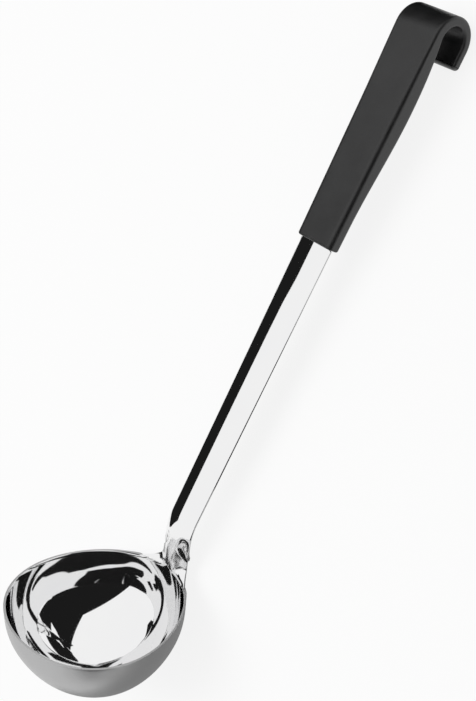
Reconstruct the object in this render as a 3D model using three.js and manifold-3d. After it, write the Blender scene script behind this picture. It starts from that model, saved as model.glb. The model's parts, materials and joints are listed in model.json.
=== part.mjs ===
// Serving ladle: bowl, neck, stem and tang pressed from one steel sheet, with a moulded hook handle.
// Millimetres. The ladle lies on its back on a table: +X runs from the bowl to the hook, +Z is up.
// The pieces are drawn in the bowl's own frame first: origin at the middle of the rim,
// x towards the stem and z out of the mouth. The last section lays them down on the table.

import * as THREE from "three";
import { mergeVertices } from "three/addons/utils/BufferGeometryUtils.js";
import Module from "manifold-3d";

const wasm = await Module();
wasm.setup();

// Steel sheet and bowl
const sheetThickness = 1.5;
const rimRadius = 38.5;
const rimStretch = 0.5;      // the rim is this much longer towards stem and front
const rimPoint = 1.15;       // and pointed this much towards the stem
const bowlDepth = 35.0;
const bowlFullness = 2.2;    // exponent of the profile: 2 is an ellipse, more is fuller
const wallLean = 0.03;       // share of the radius that the wall leans in by at the floor
const bowlSegments = 96;
const bowlRings = 12;

// Neck: a flare from the rim into the arched stem, with a scoop on either side of its ridge
const neckSegments = 6;      // rim segments on each side of the middle that run up into the neck
const neckRise = 3;
const neckBendRadius = 44;
const stemLeanDegrees = 30.6;
const flareLength = 1.0;
const flareTurn = 1.2;
const scoopDepth = 3.3;
const scoopStart = 8;
const scoopEnd = 27;
const ridgeShare = 0.2;      // of the half width: where the ridge ends and the scoop begins
const scoopFloorShare = 0.85;

// Stem
const stemLength = 130;
const stemWidthAtNeck = 15.2;
const stemWidthAtHandle = 17.0;
const stemArch = 1.7;

// Tang in the handle, with punched holes that the plastic flows through
const tangEndWall = 22;      // from the end of the tang to the middle of the hook's turn
const tangHoleCount = 3;
const tangHoleDiameter = 5.5;

// Handle
const handleLength = 96;     // from its lower end to the middle of the hook's turn
const handleWidthAtStem = 20.0;
const handleWidthAtHook = 23.2;
const handleEndThickness = 7.2;
const handleSlimLength = 12; // the thickness starts to grow here
const handleBellyThickness = 9.8;
const bellyToHook = 36;      // from the thickest place to the middle of the hook's turn
const handleCornerRadius = 2.2;
const handleEndRound = 1.0;
const tangCover = 1.3;       // plastic and clearance over the crest of the tang
const tangSideWall = 3.2;
const clearance = 0.3;

// Hook
const hookInnerRadius = 7.0;
const hookRootThickness = 5.3;
const hookThickness = 4.3;
const hookTipLength = 8.7;
const hookCornerRadius = 1.4;
const tipRoundShare = 0.45;  // of the hook's thickness, rounded off all round its tip

const steel = new THREE.MeshStandardMaterial({
  name: "polished_steel",
  color: 0xcfd0d2,
  metalness: 1,
  roughness: 0.15,
});
const plastic = new THREE.MeshStandardMaterial({
  name: "black_plastic",
  color: 0x1d1d1e,
  metalness: 0,
  roughness: 0.5,
});

const { clamp, degToRad, lerp, smoothstep } = THREE.MathUtils;

// Middle of the sheet along the rim: an oval that is slightly pointed towards the stem.
function rimMiddleRadius(angle) {
  return rimRadius + rimStretch * Math.cos(2 * angle) + rimPoint * Math.cos(3 * angle) - sheetThickness / 2;
}

// The neck's middle line climbs from the rim, bends away from the bowl and runs on straight as the stem.
const stemLean = degToRad(stemLeanDegrees);
const neckFoot = rimMiddleRadius(0);
const neckBendLength = neckBendRadius * stemLean;
const neckLength = neckRise + neckBendLength;
const stemEnd = neckLength + stemLength;
const tangLength = handleLength - tangEndWall;
const tangEnd = stemEnd + tangLength;

function crestAt(run) {
  const lean = clamp((run - neckRise) / neckBendRadius, 0, stemLean);
  const straight = Math.max(run - neckLength, 0);
  const x = neckFoot + neckBendRadius * (1 - Math.cos(lean)) + straight * Math.sin(lean);
  const z = Math.min(run, neckRise) + neckBendRadius * Math.sin(lean) + straight * Math.cos(lean);
  return { x, z, lean };
}

// A point on the middle of the sheet: run is measured up the neck from the rim,
// across goes from -1 to 1 between the edges, and lift moves the point off the sheet towards its back.
const neckAngle = (neckSegments / bowlSegments) * 2 * Math.PI;
const rimHalfWidth = rimMiddleRadius(neckAngle) * Math.sin(neckAngle);

function stemHalfWidth(run) {
  const share = clamp((run - neckLength) / stemLength, 0, 1);
  return lerp(stemWidthAtNeck, stemWidthAtHandle, share) / 2;
}

function sheetPoint(run, across, lift = 0) {
  const crest = crestAt(run);
  const angle = across * neckAngle;
  const rim = rimMiddleRadius(angle);
  const rimSetback = rim * Math.cos(angle) - neckFoot;
  const rimShare = Math.exp(-run / flareTurn);
  const neckShare = 1 - smoothstep(run, scoopStart, scoopEnd);
  const ridge = smoothstep(Math.abs(across), ridgeShare, scoopFloorShare);
  const section = lerp(stemArch * across ** 2, scoopDepth * ridge, neckShare);
  const setback = rimShare * rimSetback + (1 - rimShare) * section + lift;
  const flare = (rimHalfWidth - stemHalfWidth(0)) * Math.exp(-run / flareLength);
  const halfWidth = stemHalfWidth(run) + flare;
  return new THREE.Vector3(
    crest.x + setback * Math.cos(crest.lean),
    (halfWidth * rim * Math.sin(angle)) / rimHalfWidth,
    crest.z - setback * Math.sin(crest.lean),
  );
}

// Gives an open sheet its thickness: the sheet is copied to both sides along its normals
// and the two copies are joined along every free edge.
function thicken(points, triangles, thickness) {
  const sheet = new THREE.BufferGeometry().setFromPoints(points);
  sheet.setIndex(triangles.flat());
  sheet.computeVertexNormals();
  const normals = sheet.getAttribute("normal");
  const side = (sign) => points.map((point, i) => {
    const normal = new THREE.Vector3().fromBufferAttribute(normals, i);
    return point.clone().addScaledVector(normal, (sign * thickness) / 2);
  });
  const count = points.length;
  const faces = [];
  const freeEdges = new Map();
  for (const [a, b, c] of triangles) {
    faces.push([a, b, c], [a + count, c + count, b + count]);
    for (const [from, to] of [[a, b], [b, c], [c, a]]) {
      if (!freeEdges.delete(`${to} ${from}`)) freeEdges.set(`${from} ${to}`, [from, to]);
    }
  }
  for (const [from, to] of freeEdges.values()) {
    faces.push([to, from, from + count], [to, from + count, to + count]);
  }
  const solid = new THREE.BufferGeometry().setFromPoints([...side(1), ...side(-1)]);
  solid.setIndex(faces.flat());
  return solid;
}

function quad(a, b, c, d) {
  return [[a, b, c], [a, c, d]];
}

// Closed skin over a row of rings with the same number of points, capped flat at both ends.
function loft(rings) {
  const size = rings[0].length;
  const faces = [];
  for (let row = 0; row + 1 < rings.length; row += 1) {
    for (let i = 0; i < size; i += 1) {
      const next = (i + 1) % size;
      faces.push(...quad(row * size + i, row * size + next, (row + 1) * size + next, (row + 1) * size + i));
    }
  }
  const last = (rings.length - 1) * size;
  for (let i = 1; i + 1 < size; i += 1) {
    faces.push([0, i + 1, i], [last, last + i, last + i + 1]);
  }
  const solid = new THREE.BufferGeometry().setFromPoints(rings.flat());
  solid.setIndex(faces.flat());
  return solid;
}

function toManifold(geometry) {
  const bare = geometry.clone();
  bare.deleteAttribute("normal");
  bare.deleteAttribute("uv");
  const merged = mergeVertices(bare);
  return new wasm.Manifold(new wasm.Mesh({
    numProp: 3,
    vertProperties: new Float32Array(merged.getAttribute("position").array),
    triVerts: new Uint32Array(merged.getIndex().array),
  }));
}

function toGeometry(solid) {
  const mesh = solid.getMesh();
  const geometry = new THREE.BufferGeometry();
  geometry.setAttribute("position", new THREE.BufferAttribute(mesh.vertProperties, 3));
  geometry.setIndex(new THREE.BufferAttribute(mesh.triVerts, 1));
  geometry.computeVertexNormals();
  return geometry;
}

// Rows along the neck: close together where the flare and scoops turn, wider up the straight stem.
const neckRows = 18;
const stemRows = 14;
const neckCrowding = 1.6;
const neckZone = Math.max(neckLength, scoopEnd);

function neckRuns(end) {
  const runs = [];
  for (let row = 1; row <= neckRows; row += 1) runs.push(neckZone * (row / neckRows) ** neckCrowding);
  for (let row = 1; row <= stemRows; row += 1) runs.push(lerp(neckZone, end, row / stemRows));
  return runs;
}

// Bowl and neck as one sheet: rings from the rim to the pole, then rows that run up from the rim.
function pressedSheet() {
  const points = [];
  const triangles = [];
  const depth = bowlDepth - sheetThickness / 2;
  for (let ring = 0; ring < bowlRings; ring += 1) {
    const dip = (ring / bowlRings) * (Math.PI / 2);
    for (let i = 0; i < bowlSegments; i += 1) {
      const angle = (i / bowlSegments) * 2 * Math.PI;
      const sunk = Math.sin(dip) ** (2 / bowlFullness);
      const radius = rimMiddleRadius(angle) * Math.cos(dip) ** (2 / bowlFullness) * (1 - wallLean * sunk);
      points.push(new THREE.Vector3(radius * Math.cos(angle), radius * Math.sin(angle), -depth * sunk));
    }
  }
  const pole = points.push(new THREE.Vector3(0, 0, -depth)) - 1;
  for (let i = 0; i < bowlSegments; i += 1) {
    const next = (i + 1) % bowlSegments;
    for (let ring = 0; ring + 1 < bowlRings; ring += 1) {
      const upper = ring * bowlSegments;
      const lower = upper + bowlSegments;
      triangles.push(...quad(upper + i, upper + next, lower + next, lower + i));
    }
    const lowest = (bowlRings - 1) * bowlSegments;
    triangles.push([lowest + i, lowest + next, pole]);
  }
  const columns = 2 * neckSegments + 1;
  let below = [];
  for (let column = 0; column < columns; column += 1) {
    below.push((column - neckSegments + bowlSegments) % bowlSegments);
  }
  for (const run of neckRuns(tangEnd)) {
    const row = [];
    for (let column = 0; column < columns; column += 1) {
      row.push(points.push(sheetPoint(run, column / neckSegments - 1)) - 1);
    }
    for (let column = 0; column + 1 < columns; column += 1) {
      triangles.push(...quad(row[column], row[column + 1], below[column + 1], below[column]));
    }
    below = row;
  }
  return thicken(points, triangles, sheetThickness);
}

// The handle's frame: along runs from its lower end up the stem's line,
// and depth from its flat front face backwards.
const frontLift = -(tangCover + sheetThickness / 2);

function handlePoint(along, depth, side) {
  const crest = crestAt(stemEnd);
  const lift = frontLift + depth;
  return new THREE.Vector3(
    crest.x + along * Math.sin(stemLean) + lift * Math.cos(stemLean),
    side,
    crest.z + along * Math.cos(stemLean) - lift * Math.sin(stemLean),
  );
}

// A block in the handle's frame, between two places along, two depths and two sides.
function handleBlock(along, depth, side) {
  const ring = (place) => [
    handlePoint(place, depth[0], side[0]),
    handlePoint(place, depth[1], side[0]),
    handlePoint(place, depth[1], side[1]),
    handlePoint(place, depth[0], side[1]),
  ];
  return toManifold(loft([ring(along[0]), ring(along[1])]));
}

// A round pin through the sheet at one place along the handle.
const pinSides = 24;

function pinThrough(along, diameter, depth) {
  const ring = (level) => Array.from({ length: pinSides }, (_, i) => {
    const angle = (i / pinSides) * 2 * Math.PI;
    return handlePoint(along + (diameter / 2) * Math.sin(angle), level, (diameter / 2) * Math.cos(angle));
  });
  return toManifold(loft([ring(depth[0]), ring(depth[1])]));
}

const wellClear = 40;        // reach of a cutter past what it cuts
const through = [-wellClear, wellClear];
const tangWidth = Math.min(handleWidthAtStem - 2 * tangSideWall, stemWidthAtHandle);
const holePitch = tangLength / (tangHoleCount + 1);
const holePlaces = Array.from({ length: tangHoleCount }, (_, i) => holePitch * (i + 1));

function bowlAndStem() {
  let blank = toManifold(pressedSheet());
  const shoulder = [-clearance, tangLength + wellClear];
  for (const sides of [[tangWidth / 2, wellClear], [-wellClear, -tangWidth / 2]]) {
    blank = blank.subtract(handleBlock(shoulder, through, sides));
  }
  for (const place of holePlaces) {
    blank = blank.subtract(pinThrough(place, tangHoleDiameter, through));
  }
  return toGeometry(blank);
}

const handleBellyPlace = handleLength - bellyToHook;

// Thickness of the grip: slim at the stem, full at the belly, slim again where the hook begins.
function gripThickness(along) {
  if (along < handleBellyPlace) {
    const share = smoothstep(along, handleSlimLength, handleBellyPlace);
    return lerp(handleEndThickness, handleBellyThickness, share);
  }
  const share = (along - handleBellyPlace) / bellyToHook;
  return lerp(handleBellyThickness, hookRootThickness, share ** 2);
}

function gripWidth(along) {
  return lerp(handleWidthAtStem, handleWidthAtHook, along / handleLength);
}

// One section of the handle: a rectangle with round corners, square to the handle's own line.
const cornerSteps = 4;
const sharpestCorner = 0.1;

function section({ along, depth, turn, thickness, width, corner, inset = 0 }) {
  const halfThickness = thickness / 2 - inset;
  const halfWidth = width / 2 - inset;
  const radius = Math.max(Math.min(corner, thickness / 2) - inset, sharpestCorner);
  const ring = [];
  for (let quarter = 0; quarter < 4; quarter += 1) {
    for (let step = 0; step <= cornerSteps; step += 1) {
      const angle = (quarter + step / cornerSteps) * (Math.PI / 2);
      const sideSign = quarter === 0 || quarter === 3 ? 1 : -1;
      const outSign = quarter < 2 ? 1 : -1;
      const side = sideSign * (halfWidth - radius) + radius * Math.cos(angle);
      const out = outSign * (halfThickness - radius) + radius * Math.sin(angle);
      ring.push(handlePoint(along + out * Math.sin(turn), depth - out * Math.cos(turn), side));
    }
  }
  return ring;
}

function gripSection(along, inset = 0) {
  const thickness = gripThickness(along);
  const toHook = smoothstep(along, handleBellyPlace, handleLength);
  const corner = lerp(handleCornerRadius, hookCornerRadius, toHook);
  const place = { along, depth: thickness / 2, turn: 0 };
  return section({ ...place, thickness, width: gripWidth(along), corner, inset });
}

const hookMiddleDepth = hookRootThickness + hookInnerRadius;
const hookStrap = { width: handleWidthAtHook, corner: hookCornerRadius };

function hookSection(turn) {
  const thickness = lerp(hookRootThickness, hookThickness, smoothstep(turn, 0, Math.PI / 2));
  const radius = hookInnerRadius + thickness / 2;
  const along = handleLength + radius * Math.sin(turn);
  const depth = hookMiddleDepth - radius * Math.cos(turn);
  return section({ along, depth, turn, thickness, ...hookStrap });
}

function tipSection(drop, inset = 0) {
  const depth = hookMiddleDepth + hookInnerRadius + hookThickness / 2;
  const place = { along: handleLength - drop, depth, turn: Math.PI };
  return section({ ...place, thickness: hookThickness, ...hookStrap, inset });
}

const gripSections = 16;
const hookSections = 14;
const roundSteps = 3;
const tipRound = tipRoundShare * hookThickness;

function handleOutside() {
  const rings = [];
  for (let step = 0; step <= roundSteps; step += 1) {
    const angle = (step / roundSteps) * (Math.PI / 2);
    rings.push(gripSection(handleEndRound * (1 - Math.sin(angle)), handleEndRound * (1 - Math.cos(angle))));
  }
  rings.reverse();
  for (let step = 1; step <= gripSections; step += 1) {
    rings.push(gripSection(lerp(handleEndRound, handleLength, step / gripSections)));
  }
  for (let step = 1; step <= hookSections; step += 1) {
    rings.push(hookSection((step / hookSections) * Math.PI));
  }
  for (let step = 0; step <= roundSteps; step += 1) {
    const angle = (step / roundSteps) * (Math.PI / 2);
    const inset = tipRound * (1 - Math.cos(angle));
    rings.push(tipSection(hookTipLength - tipRound * (1 - Math.sin(angle)), inset));
  }
  return toManifold(loft(rings));
}

// Space for the tang: the arched strip with the clearance all round, bridged by a plastic key in each hole.
const archSteps = 8;

function tangSpace() {
  const halfWidth = tangWidth / 2 + clearance;
  const halfSheet = sheetThickness / 2 + clearance;
  const ring = (run) => {
    const level = (lift) => Array.from({ length: archSteps + 1 }, (_, i) => {
      const side = lerp(-halfWidth, halfWidth, i / archSteps);
      return sheetPoint(run, side / stemHalfWidth(run), lift).setY(side);
    });
    return [...level(halfSheet), ...level(-halfSheet).reverse()];
  };
  const space = toManifold(loft([ring(stemEnd - wellClear), ring(tangEnd + clearance)]));
  return holePlaces.reduce(
    (rest, place) => rest.subtract(pinThrough(place, tangHoleDiameter - 2 * clearance, through)),
    space,
  );
}

function hookHandle() {
  return toGeometry(handleOutside().subtract(tangSpace()));
}

function namedMesh(name, geometry, material) {
  const mesh = new THREE.Mesh(geometry, material);
  mesh.name = name;
  return mesh;
}

// Lays the ladle on its back: it is turned about Y until the bowl and the hook are equally low.
function lowestPoint(geometry, turn) {
  const position = geometry.getAttribute("position");
  let lowest = Infinity;
  for (let i = 0; i < position.count; i += 1) {
    lowest = Math.min(lowest, position.getZ(i) * Math.cos(turn) - position.getX(i) * Math.sin(turn));
  }
  return lowest;
}

const turnReach = 0.5;
const turnSteps = 50;

function restingTurn(bowl, handle) {
  const level = Math.PI / 2 - stemLean;
  let [low, high] = [level - turnReach, level + turnReach];
  for (let step = 0; step < turnSteps; step += 1) {
    const middle = (low + high) / 2;
    if (lowestPoint(handle, middle) > lowestPoint(bowl, middle)) low = middle;
    else high = middle;
  }
  return (low + high) / 2;
}

const steelMesh = namedMesh("bowl_and_stem", bowlAndStem(), steel);
const handleMesh = namedMesh("hook_handle", hookHandle(), plastic);

const ladle = new THREE.Group();
ladle.name = "ladle";
ladle.add(steelMesh, handleMesh);
ladle.rotation.y = restingTurn(steelMesh.geometry, handleMesh.geometry);
ladle.updateMatrixWorld(true);

// The origin is at the middle of the ladle's box, on the table.
const box = new THREE.Box3().setFromObject(ladle, true);
const middle = box.getCenter(new THREE.Vector3());
ladle.position.set(-middle.x, -middle.y, -box.min.z);
ladle.updateMatrixWorld(true);

export default ladle;
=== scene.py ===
"""Serving ladle: a pressed steel bowl with its stem, and a moulded black handle that ends in a hook.

Metres. Both pieces are drawn in the bowl's own frame (origin at the middle of the rim, x towards the stem,
z out of the mouth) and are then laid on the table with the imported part.
"""

import json
import math

import bmesh
import bpy
from mathutils import Matrix, Vector


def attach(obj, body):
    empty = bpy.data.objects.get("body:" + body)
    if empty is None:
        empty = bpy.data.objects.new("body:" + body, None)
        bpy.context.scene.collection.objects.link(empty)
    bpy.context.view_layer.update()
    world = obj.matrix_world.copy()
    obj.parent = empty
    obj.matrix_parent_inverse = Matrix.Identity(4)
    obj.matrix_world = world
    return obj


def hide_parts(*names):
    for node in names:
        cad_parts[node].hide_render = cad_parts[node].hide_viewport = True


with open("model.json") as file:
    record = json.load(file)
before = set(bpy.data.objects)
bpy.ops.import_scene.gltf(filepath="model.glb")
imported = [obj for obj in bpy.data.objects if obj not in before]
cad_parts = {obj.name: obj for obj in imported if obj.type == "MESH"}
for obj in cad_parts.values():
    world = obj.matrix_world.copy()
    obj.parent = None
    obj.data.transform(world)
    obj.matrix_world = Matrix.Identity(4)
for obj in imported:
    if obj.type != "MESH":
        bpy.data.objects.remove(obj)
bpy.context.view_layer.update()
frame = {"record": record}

MM = 0.001

# Steel sheet and bowl
SHEET_THICKNESS = 1.5 * MM
RIM_RADIUS = 38.5 * MM
RIM_STRETCH = 0.5 * MM
RIM_POINT = 1.15 * MM
BOWL_DEPTH = 35.0 * MM
BOWL_FULLNESS = 2.2
WALL_LEAN = 0.03
BOWL_SEGMENTS = 192
BOWL_RINGS = 48
EDGE_ROUND = 0.3 * MM
EDGE_ROUND_FROM = math.radians(50)
RIM_TAPER_SHARE = 0.35
RIM_TAPER_DEPTH = 12.0 * MM
RIM_TAPER_TURN = math.radians(12)

# Neck, with a scoop on either side of its ridge
NECK_SEGMENTS = 12
NECK_RISE = 3.0 * MM
NECK_BEND_RADIUS = 44.0 * MM
STEM_LEAN = math.radians(30.6)
FLARE_LENGTH = 1.0 * MM
FLARE_TURN = 1.2 * MM
NECK_ARCH = 3.3 * MM
NECK_ARCH_START = 8.0 * MM
NECK_ARCH_END = 27.0 * MM
SCOOP_DEPTH = 1.2 * MM
SCOOP_START = 6.0 * MM
SCOOP_FULL = 13.5 * MM
SCOOP_END = 19.0 * MM
RIDGE_SHARE = 0.25
NECK_ROWS = 60
NECK_CROWDING = 1.6

# Stem, and the tang that runs on into the handle
STEM_LENGTH = 130.0 * MM
STEM_WIDTH_AT_NECK = 15.2 * MM
STEM_WIDTH_AT_HANDLE = 17.0 * MM
STEM_ARCH = 1.7 * MM
STEM_ROWS = 40
TANG_SIDE_WALL = 3.2 * MM
TANG_END_WALL = 22.0 * MM
TANG_COVER = 1.3 * MM
CLEARANCE = 0.3 * MM

# Handle and hook
HANDLE_LENGTH = 96.0 * MM
HANDLE_WIDTH_AT_STEM = 20.0 * MM
HANDLE_WIDTH_AT_HOOK = 23.2 * MM
HANDLE_END_THICKNESS = 7.2 * MM
HANDLE_SLIM_LENGTH = 12.0 * MM
HANDLE_BELLY_THICKNESS = 9.8 * MM
BELLY_TO_HOOK = 36.0 * MM
HANDLE_CORNER_RADIUS = 2.2 * MM
HANDLE_END_ROUND = 1.0 * MM
HOOK_INNER_RADIUS = 7.0 * MM
HOOK_ROOT_THICKNESS = 5.3 * MM
HOOK_THICKNESS = 4.3 * MM
HOOK_TIP_LENGTH = 8.7 * MM
HOOK_CORNER_RADIUS = 1.4 * MM
TIP_ROUND = 0.45 * HOOK_THICKNESS
GRIP_STATIONS = 48
HOOK_STATIONS = 48
ROUND_STATIONS = 6
CORNER_STEPS = 8
SMOOTH_UP_TO = math.radians(40)
FLAT_SHARES = (0.03, 0.15, 0.3, 0.5, 0.7, 0.85, 0.97)

# Camera, in the bowl's frame, for a picture of 476 by 701 pixels
PICTURE_HEIGHT = 701
FOCAL_LENGTH_PIXELS = 1495
CAMERA_PLACE = Vector((-0.27821, -0.39329, 0.41886))
CAMERA_TARGET = Vector((0.08565, 0.01515, 0.08669))
CAMERA_UP = Vector((0.30532, 0.42198, 0.85373))


def smoothstep(value, low, high):
    share = min(max((value - low) / (high - low), 0.0), 1.0)
    return share * share * (3.0 - 2.0 * share)


def lerp(start, end, share):
    return start + (end - start) * share


# Shape of the steel sheet


def rim_middle_radius(angle):
    oval = RIM_STRETCH * math.cos(2 * angle) + RIM_POINT * math.cos(3 * angle)
    return RIM_RADIUS + oval - SHEET_THICKNESS / 2


NECK_FOOT = rim_middle_radius(0.0)
NECK_LENGTH = NECK_RISE + NECK_BEND_RADIUS * STEM_LEAN
STEM_END = NECK_LENGTH + STEM_LENGTH
TANG_LENGTH = HANDLE_LENGTH - TANG_END_WALL
TANG_WIDTH = HANDLE_WIDTH_AT_STEM - 2 * TANG_SIDE_WALL
NECK_ANGLE = NECK_SEGMENTS / BOWL_SEGMENTS * math.tau
RIM_HALF_WIDTH = rim_middle_radius(NECK_ANGLE) * math.sin(NECK_ANGLE)


def crest_at(run):
    """Place and lean of the neck's and stem's middle line, at a run measured up from the rim."""
    lean = min(max((run - NECK_RISE) / NECK_BEND_RADIUS, 0.0), STEM_LEAN)
    straight = max(run - NECK_LENGTH, 0.0)
    x = NECK_FOOT + NECK_BEND_RADIUS * (1 - math.cos(lean)) + straight * math.sin(lean)
    z = min(run, NECK_RISE) + NECK_BEND_RADIUS * math.sin(lean) + straight * math.cos(lean)
    return x, z, lean


def stem_half_width(run):
    share = min(max((run - NECK_LENGTH) / STEM_LENGTH, 0.0), 1.0)
    return lerp(STEM_WIDTH_AT_NECK, STEM_WIDTH_AT_HANDLE, share) / 2


def scoop_at(run, across):
    """Depth of the scoops: they open upwards from a point at the edge and end on the stem."""
    inner = lerp(1.0, RIDGE_SHARE, smoothstep(run, SCOOP_START, SCOOP_FULL))
    if abs(across) <= inner:
        return 0.0
    share = (abs(across) - inner) / (1 - inner)
    return SCOOP_DEPTH * math.sin(math.pi * share) ** 2 * (1 - smoothstep(run, SCOOP_FULL, SCOOP_END))


def sheet_point(run, across, lift=0.0):
    """A point on the sheet's middle: across goes from -1 to 1 between the edges, lift to the back."""
    x, z, lean = crest_at(run)
    angle = across * NECK_ANGLE
    rim = rim_middle_radius(angle)
    rim_share = math.exp(-run / FLARE_TURN)
    arch = lerp(NECK_ARCH, STEM_ARCH, smoothstep(run, NECK_ARCH_START, NECK_ARCH_END))
    section = arch * across**2 + scoop_at(run, across)
    rim_setback = rim * math.cos(angle) - NECK_FOOT
    setback = rim_share * rim_setback + (1 - rim_share) * section + lift
    flare = (RIM_HALF_WIDTH - stem_half_width(0.0)) * math.exp(-run / FLARE_LENGTH)
    half_width = stem_half_width(run) + flare
    return Vector((
        x + setback * math.cos(lean),
        half_width * rim * math.sin(angle) / RIM_HALF_WIDTH,
        z - setback * math.sin(lean),
    ))


def handle_point(along, depth, side):
    """A point in the handle: along from its lower end, depth from its flat front face backwards."""
    x, z, _ = crest_at(STEM_END)
    lift = depth - TANG_COVER - SHEET_THICKNESS / 2
    return Vector((
        x + along * math.sin(STEM_LEAN) + lift * math.cos(STEM_LEAN),
        side,
        z + along * math.cos(STEM_LEAN) - lift * math.sin(STEM_LEAN),
    ))


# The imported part's grip face gives the turn and the place of the bowl's frame on the table.
grip_face = next(m for m in frame["record"]["mounts"] if m["name"] == "grip_face")
face_normal = Vector(grip_face["axis"])
face_middle = Vector(grip_face["pos_m"])
FACE_MIDDLE_ALONG = 50.0 * MM
turn = Matrix.Rotation(math.atan2(face_normal.z, -face_normal.x) - STEM_LEAN, 4, "Y")
shift = face_middle - turn @ handle_point(FACE_MIDDLE_ALONG, 0.0, 0.0)
on_table = Matrix.Translation(shift) @ turn


def finish_piece(bm, name, materials, node):
    """Lays a mesh on the table and makes it a piece of the ladle that stands for its CAD node."""
    bmesh.ops.transform(bm, matrix=on_table, verts=bm.verts)
    mesh = bpy.data.meshes.new(name)
    bm.to_mesh(mesh)
    bm.free()
    mesh.shade_smooth()
    for material in materials:
        mesh.materials.append(material)
    piece = bpy.data.objects.new(name, mesh)
    bpy.context.scene.collection.objects.link(piece)
    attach(piece, "root")
    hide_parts(node)
    return piece


# Pressed steel


def draw_bowl(bm):
    """Spins the wall into a round bowl, draws it out to the oval rim and thins that from outside."""
    depth = BOWL_DEPTH - SHEET_THICKNESS / 2
    profile = []
    for ring in range(BOWL_RINGS + 1):
        dip = (1 - ring / BOWL_RINGS) * math.pi / 2
        sunk = math.sin(dip) ** (2 / BOWL_FULLNESS)
        reach = math.cos(dip) ** (2 / BOWL_FULLNESS) if ring else 0.0
        profile.append(bm.verts.new((reach * (1 - WALL_LEAN * sunk), 0.0, -depth * sunk)))
    edges = [bm.edges.new(pair) for pair in zip(profile, profile[1:])]
    bmesh.ops.spin(
        bm,
        geom=profile + edges,
        cent=(0, 0, 0),
        axis=(0, 0, 1),
        angle=math.tau,
        steps=BOWL_SEGMENTS,
        use_merge=True,
    )
    bmesh.ops.remove_doubles(bm, verts=bm.verts, dist=1e-7)
    weights = bm.verts.layers.deform.verify()
    for vert in bm.verts:
        angle = math.atan2(vert.co.y, vert.co.x)
        radius = rim_middle_radius(angle)
        near_rim = 1 - smoothstep(-vert.co.z, 0.0, RIM_TAPER_DEPTH)
        beside_neck = smoothstep(abs(angle), NECK_ANGLE, NECK_ANGLE + RIM_TAPER_TURN)
        taper = RIM_TAPER_SHARE * near_rim * beside_neck
        vert[weights][0] = 1 - taper
        inset = taper * SHEET_THICKNESS / 2
        vert.co.x = vert.co.x * radius - inset * math.cos(angle)
        vert.co.y = vert.co.y * radius - inset * math.sin(angle)


def neck_runs():
    """Rows up the neck, crowded where it flares, then up the stem and on into the tang."""
    zone = max(NECK_LENGTH, NECK_ARCH_END)
    runs = [zone * (row / NECK_ROWS) ** NECK_CROWDING for row in range(1, NECK_ROWS + 1)]
    runs += [lerp(zone, STEM_END - CLEARANCE, row / STEM_ROWS) for row in range(1, STEM_ROWS + 1)]
    return runs


def draw_out_neck(bm):
    """Extrudes the back of the rim row by row into the neck, the stem and the narrower tang."""
    across = bm.verts.layers.float.new("across")
    for vert in bm.verts:
        vert[across] = math.atan2(vert.co.y, vert.co.x) / NECK_ANGLE
    row = [
        edge
        for edge in bm.edges
        if edge.is_boundary and all(abs(v[across]) < 1 + 1e-4 for v in edge.verts)
    ]
    tang_share = TANG_WIDTH / STEM_WIDTH_AT_HANDLE
    rows = [(run, 1.0) for run in neck_runs()]
    rows += [(STEM_END, tang_share), (STEM_END + TANG_LENGTH, tang_share)]
    for run, share in rows:
        made = bmesh.ops.extrude_edge_only(bm, edges=row)["geom"]
        verts = {item for item in made if isinstance(item, bmesh.types.BMVert)}
        edges = [item for item in made if isinstance(item, bmesh.types.BMEdge)]
        row = [edge for edge in edges if verts.issuperset(edge.verts)]
        for vert in verts:
            vert.co = sheet_point(run, vert[across] * share)


def press_bowl_and_stem(materials):
    bm = bmesh.new()
    draw_bowl(bm)
    draw_out_neck(bm)
    bmesh.ops.recalc_face_normals(bm, faces=bm.faces)
    floor_face = min(bm.faces, key=lambda face: face.calc_center_median().z)
    if floor_face.normal.z < 0:
        bmesh.ops.reverse_faces(bm, faces=bm.faces)
    piece = finish_piece(bm, "bowl_and_stem_steel", materials, "bowl_and_stem")
    wall = piece.modifiers.new("sheet thickness", "SOLIDIFY")
    wall.vertex_group = piece.vertex_groups.new(name="thickness").name
    wall.thickness = SHEET_THICKNESS
    wall.offset = 0.0
    wall.use_even_offset = True
    wall.use_quality_normals = True
    wall.material_offset = 1
    wall.material_offset_rim = 1
    rounding = piece.modifiers.new("rounded edges", "BEVEL")
    rounding.width = EDGE_ROUND
    rounding.segments = 3
    rounding.limit_method = "ANGLE"
    rounding.angle_limit = EDGE_ROUND_FROM


# Moulded handle


def section_ring(thickness, width, corner, inset=0.0):
    """Outline of one section, walked once round: (side, out) with out towards the front face."""
    half_out = thickness / 2 - inset
    half_side = width / 2 - inset
    radius = max(min(corner, thickness / 2) - inset, 0.1 * MM)
    ring = []
    signs = ((1, 1), (-1, 1), (-1, -1), (1, -1))
    for quarter, (side_sign, out_sign) in enumerate(signs):
        for step in range(CORNER_STEPS + 1):
            angle = (quarter + step / CORNER_STEPS) * math.pi / 2
            side = side_sign * (half_side - radius) + radius * math.cos(angle)
            out = out_sign * (half_out - radius) + radius * math.sin(angle)
            ring.append(Vector((side, out)))
        next_side, next_out = signs[(quarter + 1) % 4]
        next_angle = (quarter + 1) * math.pi / 2
        next_corner = Vector((
            next_side * (half_side - radius) + radius * math.cos(next_angle),
            next_out * (half_out - radius) + radius * math.sin(next_angle),
        ))
        last = ring[-1]
        ring += [last.lerp(next_corner, share) for share in FLAT_SHARES]
    return ring


def placed_ring(ring, along, depth, bend):
    """Puts a section's outline in the handle, turned back by the hook's bend."""
    return [
        handle_point(along + p.y * math.sin(bend), depth - p.y * math.cos(bend), p.x) for p in ring
    ]


BELLY_PLACE = HANDLE_LENGTH - BELLY_TO_HOOK
HOOK_MIDDLE_DEPTH = HOOK_ROOT_THICKNESS + HOOK_INNER_RADIUS


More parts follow.
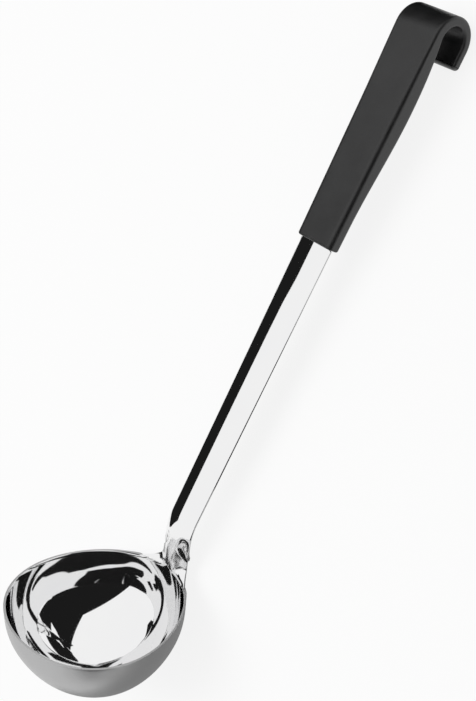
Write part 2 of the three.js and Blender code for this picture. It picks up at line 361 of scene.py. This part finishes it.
def grip_thickness(along):
    if along < BELLY_PLACE:
        share = smoothstep(along, HANDLE_SLIM_LENGTH, BELLY_PLACE)
        return lerp(HANDLE_END_THICKNESS, HANDLE_BELLY_THICKNESS, share)
    return lerp(HANDLE_BELLY_THICKNESS, HOOK_ROOT_THICKNESS, ((along - BELLY_PLACE) / BELLY_TO_HOOK) ** 2)


def grip_ring(along, inset=0.0):
    thickness = grip_thickness(along)
    width = lerp(HANDLE_WIDTH_AT_STEM, HANDLE_WIDTH_AT_HOOK, along / HANDLE_LENGTH)
    corner = lerp(HANDLE_CORNER_RADIUS, HOOK_CORNER_RADIUS, smoothstep(along, BELLY_PLACE, HANDLE_LENGTH))
    return placed_ring(section_ring(thickness, width, corner, inset), along, thickness / 2, 0.0)


def hook_ring(bend):
    thickness = lerp(HOOK_ROOT_THICKNESS, HOOK_THICKNESS, smoothstep(bend, 0.0, math.pi / 2))
    radius = HOOK_INNER_RADIUS + thickness / 2
    along = HANDLE_LENGTH + radius * math.sin(bend)
    depth = HOOK_MIDDLE_DEPTH - radius * math.cos(bend)
    ring = section_ring(thickness, HANDLE_WIDTH_AT_HOOK, HOOK_CORNER_RADIUS)
    return placed_ring(ring, along, depth, bend)


def tip_ring(drop, inset):
    depth = HOOK_MIDDLE_DEPTH + HOOK_INNER_RADIUS + HOOK_THICKNESS / 2
    ring = section_ring(HOOK_THICKNESS, HANDLE_WIDTH_AT_HOOK, HOOK_CORNER_RADIUS, inset)
    return placed_ring(ring, HANDLE_LENGTH - drop, depth, math.pi)


def handle_rings():
    """The handle's sections from its lower end up the grip, round the hook and out to its tip."""
    quarter_turns = [step / ROUND_STATIONS * math.pi / 2 for step in range(ROUND_STATIONS + 1)]
    rings = [
        grip_ring(HANDLE_END_ROUND * (1 - math.sin(angle)), HANDLE_END_ROUND * (1 - math.cos(angle)))
        for angle in reversed(quarter_turns)
    ]
    rings += [
        grip_ring(lerp(HANDLE_END_ROUND, HANDLE_LENGTH, step / GRIP_STATIONS))
        for step in range(1, GRIP_STATIONS + 1)
    ]
    rings += [hook_ring(step / HOOK_STATIONS * math.pi) for step in range(1, HOOK_STATIONS + 1)]
    rings += [
        tip_ring(HOOK_TIP_LENGTH - TIP_ROUND * (1 - math.sin(angle)), TIP_ROUND * (1 - math.cos(angle)))
        for angle in quarter_turns
    ]
    return rings


def slot_ring(run):
    """Outline of the slot that the tang sits in, with as many points as a section of the handle."""
    half_width = TANG_WIDTH / 2 + CLEARANCE
    half_sheet = SHEET_THICKNESS / 2 + CLEARANCE
    outline = section_ring(HANDLE_END_THICKNESS, HANDLE_WIDTH_AT_STEM, HANDLE_CORNER_RADIUS)
    ring = []
    for p in outline:
        side = p.x / (HANDLE_WIDTH_AT_STEM / 2) * half_width
        lift = -p.y / (HANDLE_END_THICKNESS / 2) * half_sheet
        point = sheet_point(run, side / stem_half_width(run), lift)
        point.y = side
        ring.append(point)
    return ring


def extrude_ring(bm, face, place, ring):
    """Extrudes one closing face on to the next ring, and returns the face that closes it there."""
    made = bmesh.ops.extrude_face_region(bm, geom=[face])["geom"]
    for item in made:
        if isinstance(item, bmesh.types.BMVert):
            item.co = ring[item[place]]
    return next(item for item in made if isinstance(item, bmesh.types.BMFace))


def mould_hook_handle(materials):
    bm = bmesh.new()
    place = bm.verts.layers.int.new("place")
    rings = handle_rings()
    first = []
    for index, point in enumerate(rings[0]):
        vert = bm.verts.new(point)
        vert[place] = index
        first.append(vert)
    face = bm.faces.new(first)
    for ring in rings[1:]:
        face = extrude_ring(bm, face, place, ring)
    lower_end = min(bm.faces, key=lambda f: f.calc_center_median().z if len(f.verts) > 4 else 1.0)
    bmesh.ops.inset_region(bm, faces=[lower_end], thickness=HANDLE_END_ROUND / 2)
    mouth = slot_ring(STEM_END)
    for vert in lower_end.verts:
        vert.co = mouth[vert[place]]
    extrude_ring(bm, lower_end, place, slot_ring(STEM_END + TANG_LENGTH + CLEARANCE))
    bmesh.ops.recalc_face_normals(bm, faces=bm.faces)
    for edge in bm.edges:
        edge.smooth = edge.calc_face_angle(0.0) < SMOOTH_UP_TO
    finish_piece(bm, "hook_handle_plastic", materials, "hook_handle")


# Finishes

POLISHED_COLOUR = (0.85, 0.85, 0.86, 1)
POLISHED_WARM_COLOUR = (0.88, 0.88, 0.875, 1)
SATIN_COLOUR = (0.46, 0.46, 0.462, 1)
SATIN_WORN_COLOUR = (0.52, 0.52, 0.52, 1)
PLASTIC_COLOUR = (0.0065, 0.0065, 0.0067, 1)
PLASTIC_WORN_COLOUR = (0.022, 0.022, 0.0225, 1)
PLASTIC_SPECULAR_LEVEL = 0.6

# Roughness, from the least to the most that its lines, grain or patches give
POLISHED_ROUGHNESS = (0.02, 0.05)
POLISHED_SMUDGES = (0.0, 0.015)
NECK_ROUGHNESS = (0.0, 0.15)
SATIN_ROUGHNESS = (0.36, 0.48)
SATIN_SMUDGES = (-0.03, 0.03)
PLASTIC_ROUGHNESS = (0.34, 0.48)
PLASTIC_SMUDGES = (-0.05, 0.05)
MOST_WEAR = 0.6


def add_node(tree, kind, **settings):
    node = tree.nodes.new(kind)
    for name, value in settings.items():
        setattr(node, name, value)
    return node


def new_group(name, inputs, outputs):
    """An empty shader node group: inputs are (name, socket, default), outputs are names of values."""
    tree = bpy.data.node_groups.new(name, "ShaderNodeTree")
    for socket_name, socket_type, default in inputs:
        socket = tree.interface.new_socket(socket_name, in_out="INPUT", socket_type=socket_type)
        if default is not None:
            socket.default_value = default
    for socket_name in outputs:
        tree.interface.new_socket(socket_name, in_out="OUTPUT", socket_type="NodeSocketFloat")
    return tree, add_node(tree, "NodeGroupInput"), add_node(tree, "NodeGroupOutput")


def make_drawn_lines():
    """Fine lines left by the press and the polishing wheel: rings in the bowl, lengthwise on the stem."""
    tree, given, out = new_group(
        "drawn lines",
        [
            ("Bowl Coordinates", "NodeSocketVector", None),
            ("Lines per Metre", "NodeSocketFloat", 2500.0),
            ("Ring Stretch", "NodeSocketFloat", 0.0015),
            ("Stem Stretch", "NodeSocketFloat", 0.03),
        ],
        ["Lines"],
    )
    link = tree.links.new
    split = add_node(tree, "ShaderNodeSeparateXYZ")
    link(given.outputs["Bowl Coordinates"], split.inputs[0])
    flat = add_node(tree, "ShaderNodeCombineXYZ")
    link(split.outputs["X"], flat.inputs["X"])
    link(split.outputs["Y"], flat.inputs["Y"])
    radius = add_node(tree, "ShaderNodeVectorMath", operation="LENGTH")
    link(flat.outputs[0], radius.inputs[0])
    angle = add_node(tree, "ShaderNodeMath", operation="ARCTAN2")
    link(split.outputs["Y"], angle.inputs[0])
    link(split.outputs["X"], angle.inputs[1])
    turn_along = add_node(tree, "ShaderNodeMath", operation="MULTIPLY")
    link(angle.outputs[0], turn_along.inputs[0])
    link(given.outputs["Ring Stretch"], turn_along.inputs[1])
    rings = add_node(tree, "ShaderNodeCombineXYZ")
    link(radius.outputs["Value"], rings.inputs["X"])
    link(split.outputs["Z"], rings.inputs["Y"])
    link(turn_along.outputs[0], rings.inputs["Z"])
    stem_along = add_node(tree, "ShaderNodeMath", operation="MULTIPLY")
    link(split.outputs["Z"], stem_along.inputs[0])
    link(given.outputs["Stem Stretch"], stem_along.inputs[1])
    lengthwise = add_node(tree, "ShaderNodeCombineXYZ")
    link(split.outputs["Y"], lengthwise.inputs["X"])
    link(stem_along.outputs[0], lengthwise.inputs["Y"])
    on_stem = add_node(tree, "ShaderNodeMath", operation="GREATER_THAN")
    link(split.outputs["Z"], on_stem.inputs[0])
    on_stem.inputs[1].default_value = NECK_RISE
    place = add_node(tree, "ShaderNodeMix", data_type="VECTOR")
    link(on_stem.outputs[0], place.inputs["Factor"])
    link(rings.outputs[0], place.inputs[4])
    link(lengthwise.outputs[0], place.inputs[5])
    noise = add_node(tree, "ShaderNodeTexNoise")
    noise.inputs["Detail"].default_value = 3.0
    noise.inputs["Roughness"].default_value = 0.6
    link(place.outputs[1], noise.inputs["Vector"])
    link(given.outputs["Lines per Metre"], noise.inputs["Scale"])
    link(noise.outputs["Fac"], out.inputs["Lines"])
    return tree


def make_grain():
    """A fine even grain and the broad patches of a handled surface."""
    tree, given, out = new_group(
        "grain",
        [
            ("Coordinates", "NodeSocketVector", None),
            ("Grains per Metre", "NodeSocketFloat", 3000.0),
            ("Patches per Metre", "NodeSocketFloat", 60.0),
        ],
        ["Grain", "Patches"],
    )
    link = tree.links.new
    fine = add_node(tree, "ShaderNodeTexNoise")
    fine.inputs["Detail"].default_value = 2.0
    link(given.outputs["Coordinates"], fine.inputs["Vector"])
    link(given.outputs["Grains per Metre"], fine.inputs["Scale"])
    broad = add_node(tree, "ShaderNodeTexNoise")
    broad.inputs["Detail"].default_value = 3.0
    link(given.outputs["Coordinates"], broad.inputs["Vector"])
    link(given.outputs["Patches per Metre"], broad.inputs["Scale"])
    link(fine.outputs["Fac"], out.inputs["Grain"])
    link(broad.outputs["Fac"], out.inputs["Patches"])
    return tree


def make_edge_wear():
    """A mask of the worn edges, where the surface turns within the given width, broken up by a noise."""
    tree, given, out = new_group(
        "edge wear",
        [
            ("Coordinates", "NodeSocketVector", None),
            ("Width", "NodeSocketFloat", 0.6 * MM),
            ("Breaks per Metre", "NodeSocketFloat", 400.0),
        ],
        ["Wear"],
    )
    link = tree.links.new
    rounded = add_node(tree, "ShaderNodeBevel", samples=6)
    link(given.outputs["Width"], rounded.inputs["Radius"])
    surface = add_node(tree, "ShaderNodeNewGeometry")
    agree = add_node(tree, "ShaderNodeVectorMath", operation="DOT_PRODUCT")
    link(rounded.outputs["Normal"], agree.inputs[0])
    link(surface.outputs["Normal"], agree.inputs[1])
    edge = add_node(tree, "ShaderNodeMapRange")
    edge.inputs["From Min"].default_value = 1.0
    edge.inputs["From Max"].default_value = 0.85
    link(agree.outputs["Value"], edge.inputs["Value"])
    breaks = add_node(tree, "ShaderNodeTexNoise")
    link(given.outputs["Coordinates"], breaks.inputs["Vector"])
    link(given.outputs["Breaks per Metre"], breaks.inputs["Scale"])
    worn = add_node(tree, "ShaderNodeMath", operation="MULTIPLY")
    link(edge.outputs["Result"], worn.inputs[0])
    link(breaks.outputs["Fac"], worn.inputs[1])
    link(worn.outputs[0], out.inputs["Wear"])
    return tree


DRAWN_LINES = make_drawn_lines()
GRAIN = make_grain()
EDGE_WEAR = make_edge_wear()


def new_material(name):
    material = bpy.data.materials.new(name)
    material.use_nodes = True
    tree = material.node_tree
    return material, tree, tree.nodes["Principled BSDF"]


def place_group(tree, group, coordinates, **values):
    node = add_node(tree, "ShaderNodeGroup", node_tree=group)
    tree.links.new(coordinates, node.inputs[0])
    for name, value in values.items():
        node.inputs[name.replace("_", " ")].default_value = value
    return node


def bowl_coordinates(tree):
    """Object coordinates turned back into the bowl's own frame."""
    coordinates = add_node(tree, "ShaderNodeTexCoord")
    mapping = add_node(tree, "ShaderNodeMapping", vector_type="TEXTURE")
    mapping.inputs["Location"].default_value = on_table.to_translation()
    mapping.inputs["Rotation"].default_value = on_table.to_euler()
    tree.links.new(coordinates.outputs["Object"], mapping.inputs["Vector"])
    return mapping.outputs["Vector"]


def blend_colours(tree, factor, first, second):
    mix = add_node(tree, "ShaderNodeMix", data_type="RGBA")
    mix.inputs[6].default_value = first
    mix.inputs[7].default_value = second
    tree.links.new(factor, mix.inputs["Factor"])
    return mix.outputs[2]


def remap(tree, value, low, high, from_low=0.25, from_high=0.75):
    ranged = add_node(tree, "ShaderNodeMapRange")
    ranged.inputs["From Min"].default_value = from_low
    ranged.inputs["From Max"].default_value = from_high
    ranged.inputs["To Min"].default_value = low
    ranged.inputs["To Max"].default_value = high
    tree.links.new(value, ranged.inputs["Value"])
    return ranged.outputs["Result"]


def combine(tree, operation, first, second):
    math_node = add_node(tree, "ShaderNodeMath", operation=operation)
    tree.links.new(first, math_node.inputs[0])
    tree.links.new(second, math_node.inputs[1])
    return math_node.outputs[0]


def neck_mask(tree, coordinates):
    """The neck, where the polishing wheel does not reach: it fades in above the rim and out up the stem."""
    split = add_node(tree, "ShaderNodeSeparateXYZ")
    tree.links.new(coordinates, split.inputs[0])
    above_rim = remap(tree, split.outputs["Z"], 0.0, 1.0, 0.0, NECK_RISE)
    below_stem = remap(tree, split.outputs["Z"], 1.0, 0.0, SCOOP_FULL, SCOOP_END)
    return combine(tree, "MULTIPLY", above_rim, below_stem)


def raise_bumps(tree, shader, height, distance, strength):
    bump = add_node(tree, "ShaderNodeBump")
    bump.inputs["Distance"].default_value = distance
    bump.inputs["Strength"].default_value = strength
    tree.links.new(height, bump.inputs["Height"])
    tree.links.new(bump.outputs["Normal"], shader.inputs["Normal"])


def make_polished_steel():
    material, tree, shader = new_material("polished steel")
    coordinates = bowl_coordinates(tree)
    lines = place_group(tree, DRAWN_LINES, coordinates, Lines_per_Metre=2200.0)
    grain = place_group(tree, GRAIN, coordinates, Patches_per_Metre=45.0)
    shader.inputs["Metallic"].default_value = 1.0
    colour = blend_colours(tree, grain.outputs["Patches"], POLISHED_COLOUR, POLISHED_WARM_COLOUR)
    tree.links.new(colour, shader.inputs["Base Color"])
    fine = remap(tree, lines.outputs["Lines"], *POLISHED_ROUGHNESS)
    smudges = remap(tree, grain.outputs["Patches"], *POLISHED_SMUDGES, 0.5, 0.8)
    unpolished = remap(tree, neck_mask(tree, coordinates), *NECK_ROUGHNESS, 0.0, 1.0)
    polish = combine(tree, "ADD", fine, smudges)
    tree.links.new(combine(tree, "ADD", polish, unpolished), shader.inputs["Roughness"])
    raise_bumps(tree, shader, lines.outputs["Lines"], 0.002 * MM, 0.4)
    return material


def make_satin_steel():
    material, tree, shader = new_material("satin steel")
    coordinates = bowl_coordinates(tree)
    lines = place_group(tree, DRAWN_LINES, coordinates, Lines_per_Metre=3200.0, Ring_Stretch=0.003)
    grain = place_group(tree, GRAIN, coordinates, Patches_per_Metre=70.0)
    wear = place_group(tree, EDGE_WEAR, coordinates, Width=1.2 * MM)
    shader.inputs["Metallic"].default_value = 1.0
    rubbed = remap(tree, lines.outputs["Lines"], 0.0, MOST_WEAR)
    worn = combine(tree, "MAXIMUM", wear.outputs["Wear"], rubbed)
    colour = blend_colours(tree, worn, SATIN_COLOUR, SATIN_WORN_COLOUR)
    tree.links.new(colour, shader.inputs["Base Color"])
    brushed = remap(tree, lines.outputs["Lines"], *SATIN_ROUGHNESS)
    smudges = remap(tree, grain.outputs["Patches"], *SATIN_SMUDGES)
    tree.links.new(combine(tree, "ADD", brushed, smudges), shader.inputs["Roughness"])
    raise_bumps(tree, shader, lines.outputs["Lines"], 0.02 * MM, 0.5)
    return material


def make_black_plastic():
    material, tree, shader = new_material("black plastic")
    coordinates = bowl_coordinates(tree)
    grain = place_group(tree, GRAIN, coordinates, Grains_per_Metre=1800.0, Patches_per_Metre=110.0)
    shader.inputs["Specular IOR Level"].default_value = PLASTIC_SPECULAR_LEVEL
    wear = place_group(tree, EDGE_WEAR, coordinates, Width=0.9 * MM, Breaks_per_Metre=300.0)
    rubbed = remap(tree, grain.outputs["Patches"], 0.0, MOST_WEAR)
    worn = combine(tree, "MAXIMUM", wear.outputs["Wear"], rubbed)
    colour = blend_colours(tree, worn, PLASTIC_COLOUR, PLASTIC_WORN_COLOUR)
    tree.links.new(colour, shader.inputs["Base Color"])
    moulded = remap(tree, grain.outputs["Grain"], *PLASTIC_ROUGHNESS)
    handled = remap(tree, grain.outputs["Patches"], *PLASTIC_SMUDGES)
    tree.links.new(combine(tree, "ADD", moulded, handled), shader.inputs["Roughness"])
    raise_bumps(tree, shader, grain.outputs["Grain"], 0.02 * MM, 0.35)
    return material


press_bowl_and_stem([make_polished_steel(), make_satin_steel()])
mould_hook_handle([make_black_plastic()])

# Studio: a white table and surround, a soft lamp, and flags and cards that only mirrored rays see; the grey
# card round the bowl and the black under the stem are painted shadow on the table

TABLE_HALF_SIDE = 30.0
TABLE_COLOUR = (0.85, 0.85, 0.85, 1)
TABLE_SHOWN_WHITE = 0.85
FILL_STRENGTH = 0.55
FLAG_COLOUR = (0.012, 0.012, 0.012, 1)
FLAG_TOP = 0.8
FLAG_DROP = 2.0
PICTURE_RIGHT = Vector((0.7645, -0.6446, 0.0))
PICTURE_AWAY = Vector((0.6446, 0.7645, 0.0))
SIDE_FLAG_EDGE = ((0.15, 0.87), (0.28, 0.7), (0.28, -0.4), (-1.6, -2.9))
STEM_FLAG_PLACE = 0.6
STEM_FLAG_EDGE = (
    (-0.41, 0.57),
    (-0.2, 0.575),
    (-0.13, 0.595),
    (-0.095, 0.63),
    (-0.077, 0.74),
    (-0.02, 0.74),
    (0.04, 0.72),
    (0.107, 0.44),
    (0.363, 0.2),
    (0.4, 0.0),
)
HOOK_FLAG_EDGE = ((0.19, -0.01), (0.155, 0.05))
HOOK_FLAG_HEIGHT = 0.052
TABLE_CARD_LIFT = 0.5 * MM
# The near and far table cards are black cards; where they meet under the stem, their black is painted
# shadow of the stem on the table, seen only in what the metal mirrors
NEAR_TABLE_CARD = (
    (-0.088, -0.022),
    (-0.07, -0.1),
    (-0.04, -0.18),
    (-0.03, -0.34),
    (0.21, -0.24),
    (0.3, -0.13),
    (0.06, -0.1),
    (0.03, -0.055),
    (0.0, -0.012),
)
# A grey card on the table round the bowl: painted shadow of the bowl, seen only where the metal mirrors the
# table once
BOWL_SHADOW_CARD = ((-0.24, -0.12), (-0.1, -0.12), (-0.09, 0.0), (-0.1, 0.03), (-0.24, 0.03))
BOWL_SHADOW_GREY = (0.4, 0.4, 0.4, 1)
FAR_TABLE_CARD = (
    (-0.064, -0.016),
    (0.0, -0.012),
    (0.1, 0.015),
    (0.12, 0.045),
    (0.57, 0.05),
    (0.57, 0.2),
    (0.27, 0.154),
    (0.126, 0.145),
    (0.03, 0.11),
    (-0.055, 0.055),
)
# Seen only in what the metal mirrors twice
SECOND_TABLE_CARD = (
    (-0.07, 0.0),
    (-0.06, -0.08),
    (-0.02, -0.08),
    (0.1, -0.05),
    (0.3, -0.12),
    (1.5, -0.2),
    (1.5, 1.5),
    (0.3, 1.2),
    (0.0, 0.35),
    (-0.04, 0.14),
    (-0.07, 0.05),
)

# Cards over the bowl's mouth, as (degrees from straight up, degrees round to the right from away)
SECOND_CARDS = {
    "middle_card": (
        (29, -85),
        (22, -140),
        (23, -163),
        (33, -166),
        (34, 178),
        (31, 167),
        (22, 174),
        (14, 154),
        (9, 124),
        (4, 68),
        (7, -43),
        (17, -59),
        (25, -66),
    ),
    "away_card": (
        (77, -59),
        (43, -48),
        (30, -52),
        (25, -35),
        (18, 3),
        (13, 50),
        (14, 109),
        (21, 127),
        (28, 100),
        (44, 74),
        (59, 57),
        (76, 54),
        (76, 20),
        (76, -20),
    ),
    "right_card": ((36, 113), (40, 97), (47, 98), (55, 107), (52, 123), (44, 118)),
    "near_right_card": ((39.5, 164), (38, 142), (38, 128), (44, 130), (48, 142), (46, 156)),
    "near_card": (
        (35, 158),
        (41, 153),
        (45, 158),
        (47, 168),
        (50, 178),
        (57, -173),
        (66, -167),
        (70, -157),
        (67, -149),
        (58, -153),
        (48, -165),
        (40, -174),
        (36, 174),
    ),
}
# Seen only in what it mirrors three times, then four times and more
THIRD_CARD = (
    (42, 80),
    (40, 105),
    (39.5, 122),
    (42, 137),
    (46, 150),
    (47, 160),
    (48, 175),
    (47.5, -172),
    (48, -160),
    (51, -147),
    (48, -136),
    (43, -128),
    (38, -112),
    (36, -60),
    (36, 0),
    (36, 45),
    (40, 65),
)
FOURTH_CARD = ((36, 80), (58, 110), (58, 140), (52, 178), (40, 180))
CARD_SPACING = 0.01
LAMP_PLACE = Vector((-0.2, 0.5, 1.5))
LAMP_SIDE = 1.2
LAMP_POWER = 13.0


def white_for_rays(tree, camera_share):
    """How much of the plain white a ray sees: the camera its share, mirrors and glass the whole."""
    rays = add_node(tree, "ShaderNodeLightPath")
    camera = add_node(tree, "ShaderNodeMath", operation="MULTIPLY")
    camera.inputs[1].default_value = camera_share
    tree.links.new(rays.outputs["Is Camera Ray"], camera.inputs[0])
    glossy = rays.outputs["Is Glossy Ray"]
    mirrored = combine(tree, "MAXIMUM", glossy, rays.outputs["Is Transmission Ray"])
    return combine(tree, "MAXIMUM", camera.outputs[0], mirrored)


def make_table_white():
    material, tree, shader = new_material("table white")
    tree.nodes.remove(shader)
    matt = add_node(tree, "ShaderNodeBsdfDiffuse")
    matt.inputs["Color"].default_value = TABLE_COLOUR
    white = add_node(tree, "ShaderNodeEmission")
    mix = add_node(tree, "ShaderNodeMixShader")
    tree.links.new(white_for_rays(tree, TABLE_SHOWN_WHITE), mix.inputs[0])
    tree.links.new(matt.outputs[0], mix.inputs[1])
    tree.links.new(white.outputs[0], mix.inputs[2])
    tree.links.new(mix.outputs[0], tree.nodes["Material Output"].inputs["Surface"])
    return material


def make_flag(name, colour, fewest, most):
    """Shows its colour to rays that have been mirrored from fewest to most times, clear for all others."""
    material, tree, shader = new_material(name)
    tree.nodes.remove(shader)
    rays = add_node(tree, "ShaderNodeLightPath")
    counted = add_node(tree, "ShaderNodeMath", operation="COMPARE")
    counted.inputs[1].default_value = (fewest + most) / 2
    counted.inputs[2].default_value = (most - fewest + 1) / 2
    tree.links.new(rays.outputs["Glossy Depth"], counted.inputs[0])
    dark = add_node(tree, "ShaderNodeEmission")
    dark.inputs["Color"].default_value = colour
    clear = add_node(tree, "ShaderNodeBsdfTransparent")
    mix = add_node(tree, "ShaderNodeMixShader")
    tree.links.new(counted.outputs[0], mix.inputs[0])
    tree.links.new(clear.outputs[0], mix.inputs[1])
    tree.links.new(dark.outputs[0], mix.inputs[2])
    tree.links.new(mix.outputs[0], tree.nodes["Material Output"].inputs["Surface"])
    return material


def put_on_stage(bm, name, material, only_mirrored):
    mesh = bpy.data.meshes.new(name)
    bm.to_mesh(mesh)
    bm.free()
    mesh.materials.append(material)
    staged = bpy.data.objects.new(name, mesh)
    bpy.context.scene.collection.objects.link(staged)
    if only_mirrored:
        staged.visible_camera = False
        staged.visible_diffuse = False
        staged.visible_shadow = False
        staged.visible_transmission = False


def hang_flag(name, top_edge, drop, material):
    """A flag that hangs from its top edge."""
    bm = bmesh.new()
    verts = [bm.verts.new(point) for point in top_edge]
    edges = [bm.edges.new(pair) for pair in zip(verts, verts[1:])]
    made = bmesh.ops.extrude_edge_only(bm, edges=edges)["geom"]
    lower = [item for item in made if isinstance(item, bmesh.types.BMVert)]
    bmesh.ops.translate(bm, verts=lower, vec=drop)
    put_on_stage(bm, name, material, True)


def lay_card(name, outline, material):
    bm = bmesh.new()
    verts = [bm.verts.new(point) for point in outline]
    bm.faces.new(verts)
    put_on_stage(bm, name, material, True)


def set_table():
    bm = bmesh.new()
    bmesh.ops.create_grid(bm, x_segments=1, y_segments=1, size=TABLE_HALF_SIDE)
    put_on_stage(bm, "table", make_table_white(), False)


def on_table_top(places, layer=1):
    return [Vector((x, y, layer * TABLE_CARD_LIFT)) for x, y in places]


def over_bowl(places, lift=0.0):
    """Points over the bowl's mouth, from their places to the right and away as the camera sees them."""
    up = Vector((0.0, 0.0, FLAG_TOP + lift))
    return [on_table @ (PICTURE_RIGHT * right + PICTURE_AWAY * away + up) for right, away in places]


def from_degrees(outline):
    """Places to the right and away, from the degrees that the cards are given in."""
    places = []
    for from_up, round_right in outline:
        reach = FLAG_TOP * math.tan(math.radians(from_up))
        turned = math.radians(round_right)
        places.append((reach * math.sin(turned), reach * math.cos(turned)))
    return places


def set_flags():
    """Flags for what the metal mirrors once, then cards for what the bowl mirrors twice and more often."""
    black = make_flag("flag black", FLAG_COLOUR, 1, 1)
    hang_flag("side_flag", over_bowl(SIDE_FLAG_EDGE), turn @ Vector((0.0, 0.0, -FLAG_DROP)), black)
    stem_edge = [Vector((along, STEM_FLAG_PLACE, height)) for along, height in STEM_FLAG_EDGE]
    hang_flag("stem_flag", stem_edge, Vector((0.0, 0.0, -FLAG_DROP)), black)
    # Where the two black table cards meet under the stem, they are painted shadow of the stem
    lay_card("near_table_card", on_table_top(NEAR_TABLE_CARD), black)
    lay_card("far_table_card", on_table_top(FAR_TABLE_CARD), black)
    hook_edge = [Vector((x, y, HOOK_FLAG_HEIGHT)) for x, y in HOOK_FLAG_EDGE]
    hang_flag("hook_flag", hook_edge, Vector((0.0, 0.0, -HOOK_FLAG_HEIGHT)), black)
    # The grey card is painted shadow of the bowl on the table, seen only in what the metal mirrors once
    grey = make_flag("painted bowl shadow grey", BOWL_SHADOW_GREY, 1, 1)
    lay_card("painted_bowl_shadow_card", on_table_top(BOWL_SHADOW_CARD), grey)
    black_twice = make_flag("card black for the second mirroring", FLAG_COLOUR, 2, 2)
    lay_card("second_table_card", on_table_top(SECOND_TABLE_CARD, 2), black_twice)
    for name, outline in SECOND_CARDS.items():
        lay_card(name, over_bowl(from_degrees(outline)), black_twice)
    black_thrice = make_flag("card black for the third mirroring", FLAG_COLOUR, 3, 3)
    lay_card("third_card", over_bowl(from_degrees(THIRD_CARD), CARD_SPACING), black_thrice)
    black_often = make_flag("card black for more mirrorings", FLAG_COLOUR, 4, 7)
    lay_card("fourth_card", over_bowl(from_degrees(FOURTH_CARD), 2 * CARD_SPACING), black_often)


def hang_lamp():
    lamp = bpy.data.objects.new("soft_lamp", bpy.data.lights.new("soft_lamp", "AREA"))
    lamp.data.size = LAMP_SIDE
    lamp.data.energy = LAMP_POWER
    lamp.location = LAMP_PLACE
    lamp.rotation_euler = LAMP_PLACE.to_track_quat("Z", "Y").to_euler()
    lamp.visible_camera = False
    lamp.visible_glossy = False
    bpy.context.scene.collection.objects.link(lamp)


def light_surround():
    world = bpy.context.scene.world or bpy.data.worlds.new("surround")
    bpy.context.scene.world = world
    world.use_nodes = True
    tree = world.node_tree
    background = tree.nodes["Background"]
    background.inputs["Color"].default_value = (1, 1, 1, 1)
    strength = remap(tree, white_for_rays(tree, 1.0), FILL_STRENGTH, 1.0, 0.0, 1.0)
    tree.links.new(strength, background.inputs["Strength"])


set_table()
set_flags()
hang_lamp()
light_surround()

# Camera


def place_camera():
    camera = bpy.data.objects.new("camera", bpy.data.cameras.new("camera"))
    bpy.context.scene.collection.objects.link(camera)
    camera.data.lens = FOCAL_LENGTH_PIXELS / PICTURE_HEIGHT * camera.data.sensor_width
    back = (CAMERA_PLACE - CAMERA_TARGET).normalized()
    right = CAMERA_UP.cross(back).normalized()
    up = back.cross(right)
    view = Matrix((right, up, back)).transposed().to_4x4()
    view.translation = CAMERA_PLACE
    camera.matrix_world = on_table @ view
    camera.data.clip_start = 0.01
    bpy.context.scene.camera = camera


place_camera()

bpy.context.scene.view_settings.view_transform = "Standard"
